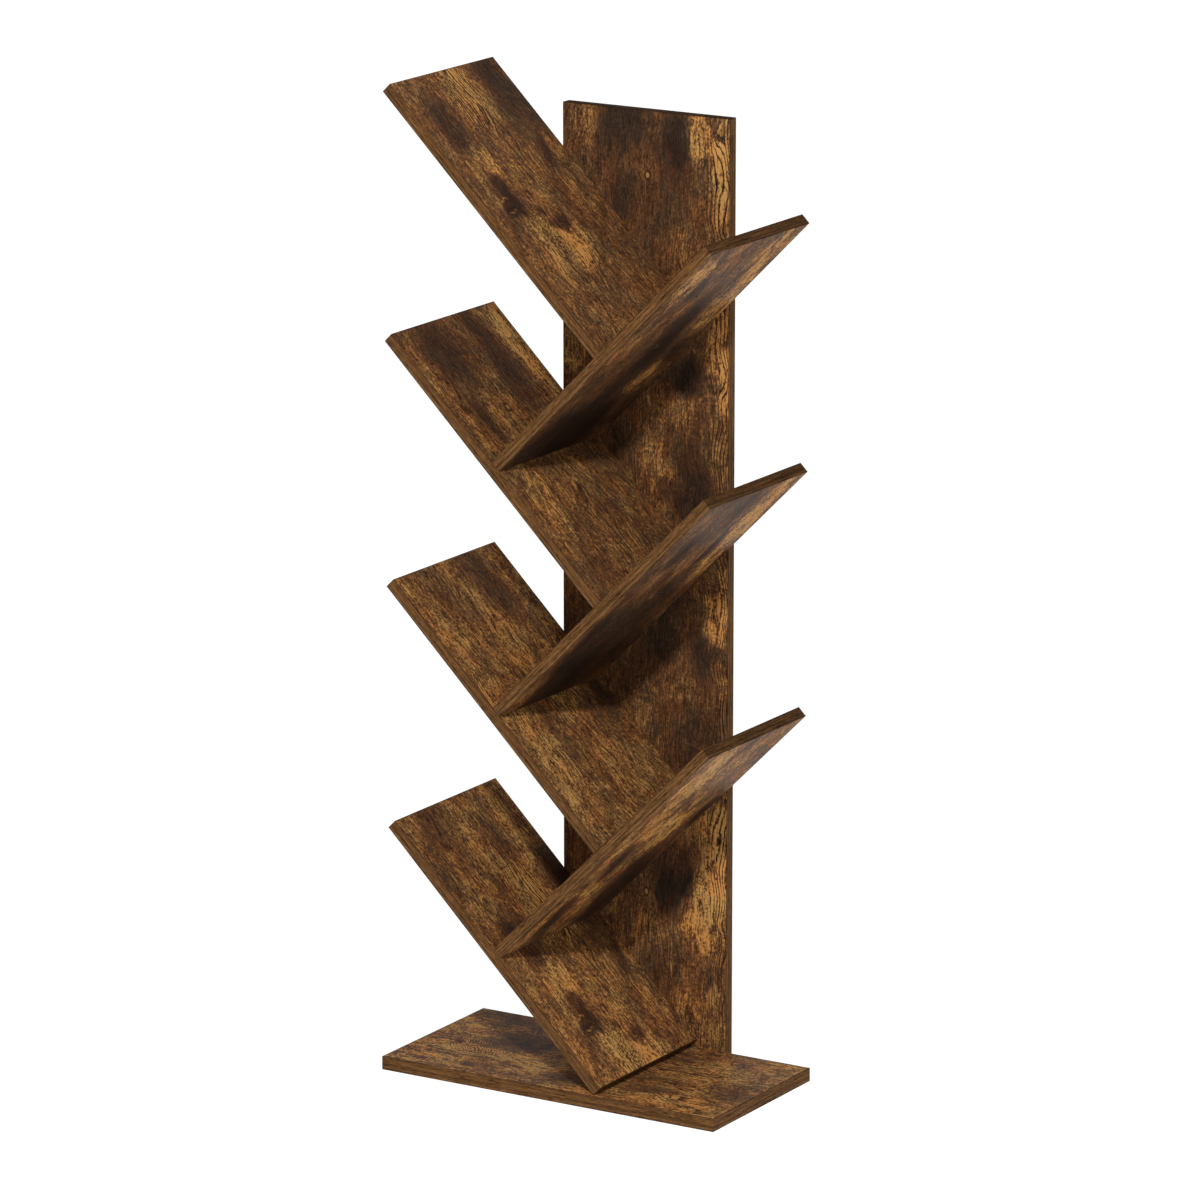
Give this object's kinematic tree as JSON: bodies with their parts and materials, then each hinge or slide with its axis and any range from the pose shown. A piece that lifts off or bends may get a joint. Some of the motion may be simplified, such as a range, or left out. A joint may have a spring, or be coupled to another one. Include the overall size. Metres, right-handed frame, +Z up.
{
  "type": "tree bookshelf",
  "caption": "Free-standing tree-shaped bookshelf: slanted boards meet in alternating V pairs on a flat base, in front of a narrow back panel.",
  "frame": {"origin": "on the floor in the middle of the footprint", "axes": "+Z up, the front with the open shelves faces -Y, +X to the right seen from the front"},
  "size_m": [0.5, 0.262, 1.2993],
  "materials": {
    "board": "satin wood-print surface",
    "edge_strip": "satin wood-print strip",
    "screw_steel": "zinc plated",
    "dowel_wood": "raw beech"
  },
  "bodies": {
    "root": {"base_plate": "board", "back_panel": "board", "left_shelf_1": "board", "left_shelf_2": "board", "left_shelf_3": "board", "left_shelf_4": "board", "right_shelf_1": "board", "right_shelf_2": "board", "right_shelf_3": "board", "base_edge_strips": "edge_strip", "panel_edge_strips": "edge_strip", "left_edge_strips_1": "edge_strip", "left_edge_strips_2": "edge_strip", "left_edge_strips_3": "edge_strip", "left_edge_strips_4": "edge_strip", "right_edge_strips_1": "edge_strip", "right_edge_strips_2": "edge_strip", "right_edge_strips_3": "edge_strip", "joint_screws": "screw_steel", "panel_screws": "screw_steel", "toe_screws": "screw_steel", "joint_dowels": "dowel_wood"}
  },
  "joints": []
}
